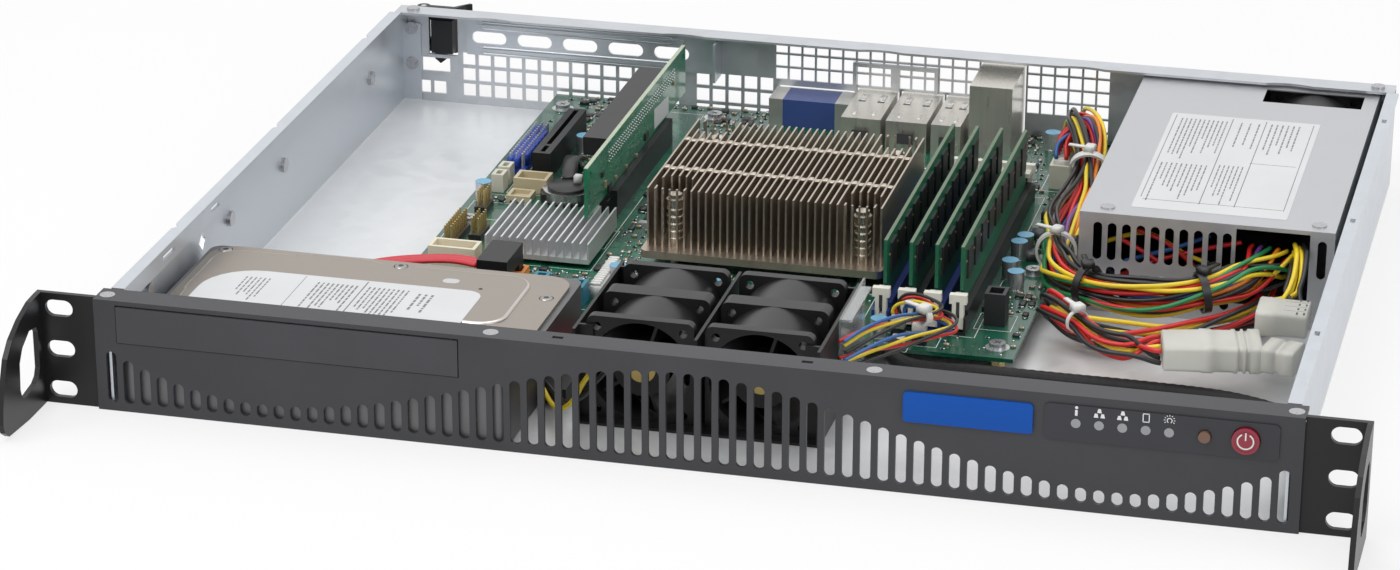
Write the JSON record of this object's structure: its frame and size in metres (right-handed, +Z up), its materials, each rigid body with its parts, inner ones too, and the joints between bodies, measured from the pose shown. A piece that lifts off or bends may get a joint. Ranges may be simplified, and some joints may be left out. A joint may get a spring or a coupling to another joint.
{
  "type": "rack server",
  "caption": "One-unit rack server without its lid: steel tray with wave-vented front panel, rack ears with handles, board, coolers, memory, fans, drive and power supply",
  "frame": {"origin": "middle of the bounding box's base: under the middle of the whole, on the surface it stands on", "axes": "+Z up, +Y to the rear panel, +X to the right as seen from the front"},
  "size_m": [0.4826, 0.402, 0.0443],
  "materials": {
    "chassis_tray": "galvanised sheet",
    "rear_panel": "galvanised sheet",
    "front_panel": "dark grey satin powder coat",
    "drive_bay_blank": "dark grey moulded",
    "rack_ear": "near black satin powder coat",
    "badge": "domed blue resin",
    "overlay": "printed film",
    "lights": "smoked light pipe",
    "board_small": "green solder mask",
    "zinc": "zinc plated",
    "standoff": "bright",
    "board": "green solder mask",
    "socket_steel": "blackened steel frame and chip",
    "cooler": "nickel plated fins",
    "spring": "nickel plated",
    "chip_sink": "bare extrusion",
    "memory_slot": "black and blue nylon",
    "memory": "green board with black chips",
    "black_slot": "black nylon",
    "coin": "stainless",
    "video": "blue connector",
    "port_steel": "tinned shell",
    "mixed_plastic": "nylon, black and cream",
    "cream": "cream, orange and blue nylon",
    "pins": "blue bases with gold pins",
    "capacitor": "can with blue mark",
    "chip": "epoxy",
    "fan_black": "black glass filled",
    "shroud": "clear film",
    "drive_cast": "cast, grey brown",
    "drive_lid": "satin",
    "sata_black": "black",
    "red_cable": "red flat jacket",
    "psu_steel": "galvanised sheet",
    "wires": "PVC insulated, many colours",
    "braid": "black braided sleeve",
    "nylon": "translucent white nylon",
    "tie": "nylon",
    "button_red": "crimson",
    "button_brown": "brown",
    "rotor": "black",
    "latch_white": "ivory nylon"
  },
  "bodies": {
    "chassis": {"chassis_tray": "chassis_tray", "rear_panel": "rear_panel", "front_panel": "front_panel", "drive_bay_blank": "drive_bay_blank", "left_rack_ear": "rack_ear", "right_rack_ear": "rack_ear", "badge_plate": "badge", "control_overlay": "overlay", "status_lights": "lights", "control_board": "board_small", "case_screws": "zinc", "board_standoffs": "standoff", "main_board": "board", "board_screws": "zinc", "cpu_socket": "socket_steel", "cpu_heatsink": "cooler", "heatsink_spring_screws": "spring", "chipset_heatsink": "chip_sink", "memory_slots": "memory_slot", "memory_modules": "memory", "card_slots": "black_slot", "riser_card": "board_small", "coin_cell": "coin", "video_port": "video", "port_shells": "port_steel", "board_sockets": "mixed_plastic", "sata_ports": "cream", "pin_headers": "pins", "capacitors": "capacitor", "board_chips": "chip", "fan_tray": "fan_black", "fan_housings": "fan_black", "air_shroud": "shroud", "drive_body": "drive_cast", "drive_cover": "drive_lid", "sata_plug": "sata_black", "sata_cable": "red_cable", "psu_case": "psu_steel", "slot_cover": "rear_panel", "wire_harness": "wires", "fan_leads": "wires", "control_lead": "braid", "nylon_connectors": "nylon", "cable_ties": "tie"},
    "power_button_body": {"power_button": "button_red"},
    "reset_button_body": {"reset_button": "button_brown"},
    "fan_rotor_1_body": {"fan_rotor_1": "rotor"},
    "fan_rotor_2_body": {"fan_rotor_2": "rotor"},
    "fan_rotor_3_body": {"fan_rotor_3": "rotor"},
    "fan_rotor_4_body": {"fan_rotor_4": "rotor"},
    "psu_fan_rotor_body": {"psu_fan_rotor": "rotor"},
    "card_clamp_body": {"card_clamp": "sata_black"},
    "latch_front_1_body": {"latch_front_1": "latch_white"},
    "latch_front_2_body": {"latch_front_2": "latch_white"},
    "latch_front_3_body": {"latch_front_3": "latch_white"},
    "latch_front_4_body": {"latch_front_4": "latch_white"},
    "latch_rear_1_body": {"latch_rear_1": "latch_white"},
    "latch_rear_2_body": {"latch_rear_2": "latch_white"},
    "latch_rear_3_body": {"latch_rear_3": "latch_white"},
    "latch_rear_4_body": {"latch_rear_4": "latch_white"}
  },
  "joints": [
    {"name": "power_button_press", "type": "slide", "parent": "chassis", "child": "power_button_body", "axis": [0, 1, 0], "range_m": [0, 0.001], "stiffness_N_per_m": 600},
    {"name": "reset_button_press", "type": "slide", "parent": "chassis", "child": "reset_button_body", "axis": [0, 1, 0], "range_m": [0, 0.001], "stiffness_N_per_m": 400},
    {"name": "fan_1_spin", "type": "hinge", "parent": "chassis", "child": "fan_rotor_1_body", "pos_m": [-0.0234, -0.11375, 0.0212], "axis": [0, 1, 0], "continuous": true},
    {"name": "fan_2_spin", "type": "hinge", "parent": "chassis", "child": "fan_rotor_2_body", "pos_m": [-0.0234, -0.08575, 0.0212], "axis": [0, 1, 0], "continuous": true},
    {"name": "fan_3_spin", "type": "hinge", "parent": "chassis", "child": "fan_rotor_3_body", "pos_m": [0.0206, -0.11375, 0.0212], "axis": [0, 1, 0], "continuous": true},
    {"name": "fan_4_spin", "type": "hinge", "parent": "chassis", "child": "fan_rotor_4_body", "pos_m": [0.0206, -0.08575, 0.0212], "axis": [0, 1, 0], "continuous": true},
    {"name": "psu_fan_spin", "type": "hinge", "parent": "chassis", "child": "psu_fan_rotor_body", "pos_m": [0.18252, 0.174, 0.0211], "axis": [0, 1, 0], "continuous": true},
    {"name": "latch_front_1_swing", "type": "hinge", "parent": "chassis", "child": "latch_front_1_body", "pos_m": [0.04564, -0.03437, 0.0125], "axis": [1, 0, 0], "range_deg": [0, 25]},
    {"name": "latch_rear_1_swing", "type": "hinge", "parent": "chassis", "child": "latch_rear_1_body", "pos_m": [0.04564, 0.11108, 0.0125], "axis": [-1, 0, 0], "range_deg": [0, 25]},
    {"name": "latch_front_2_swing", "type": "hinge", "parent": "chassis", "child": "latch_front_2_body", "pos_m": [0.05544, -0.03437, 0.0125], "axis": [1, 0, 0], "range_deg": [0, 25]},
    {"name": "latch_rear_2_swing", "type": "hinge", "parent": "chassis", "child": "latch_rear_2_body", "pos_m": [0.05544, 0.11108, 0.0125], "axis": [-1, 0, 0], "range_deg": [0, 25]},
    {"name": "latch_front_3_swing", "type": "hinge", "parent": "chassis", "child": "latch_front_3_body", "pos_m": [0.06524, -0.03437, 0.0125], "axis": [1, 0, 0], "range_deg": [0, 25]},
    {"name": "latch_rear_3_swing", "type": "hinge", "parent": "chassis", "child": "latch_rear_3_body", "pos_m": [0.06524, 0.11108, 0.0125], "axis": [-1, 0, 0], "range_deg": [0, 25]},
    {"name": "latch_front_4_swing", "type": "hinge", "parent": "chassis", "child": "latch_front_4_body", "pos_m": [0.07504, -0.03437, 0.0125], "axis": [1, 0, 0], "range_deg": [0, 25]},
    {"name": "latch_rear_4_swing", "type": "hinge", "parent": "chassis", "child": "latch_rear_4_body", "pos_m": [0.07504, 0.11108, 0.0125], "axis": [-1, 0, 0], "range_deg": [0, 25]},
    {"name": "card_clamp_swing", "type": "hinge", "parent": "chassis", "child": "card_clamp_body", "pos_m": [-0.205, 0.1936, 0.0325], "axis": [0, 0, 1], "range_deg": [0, 75]}
  ]
}
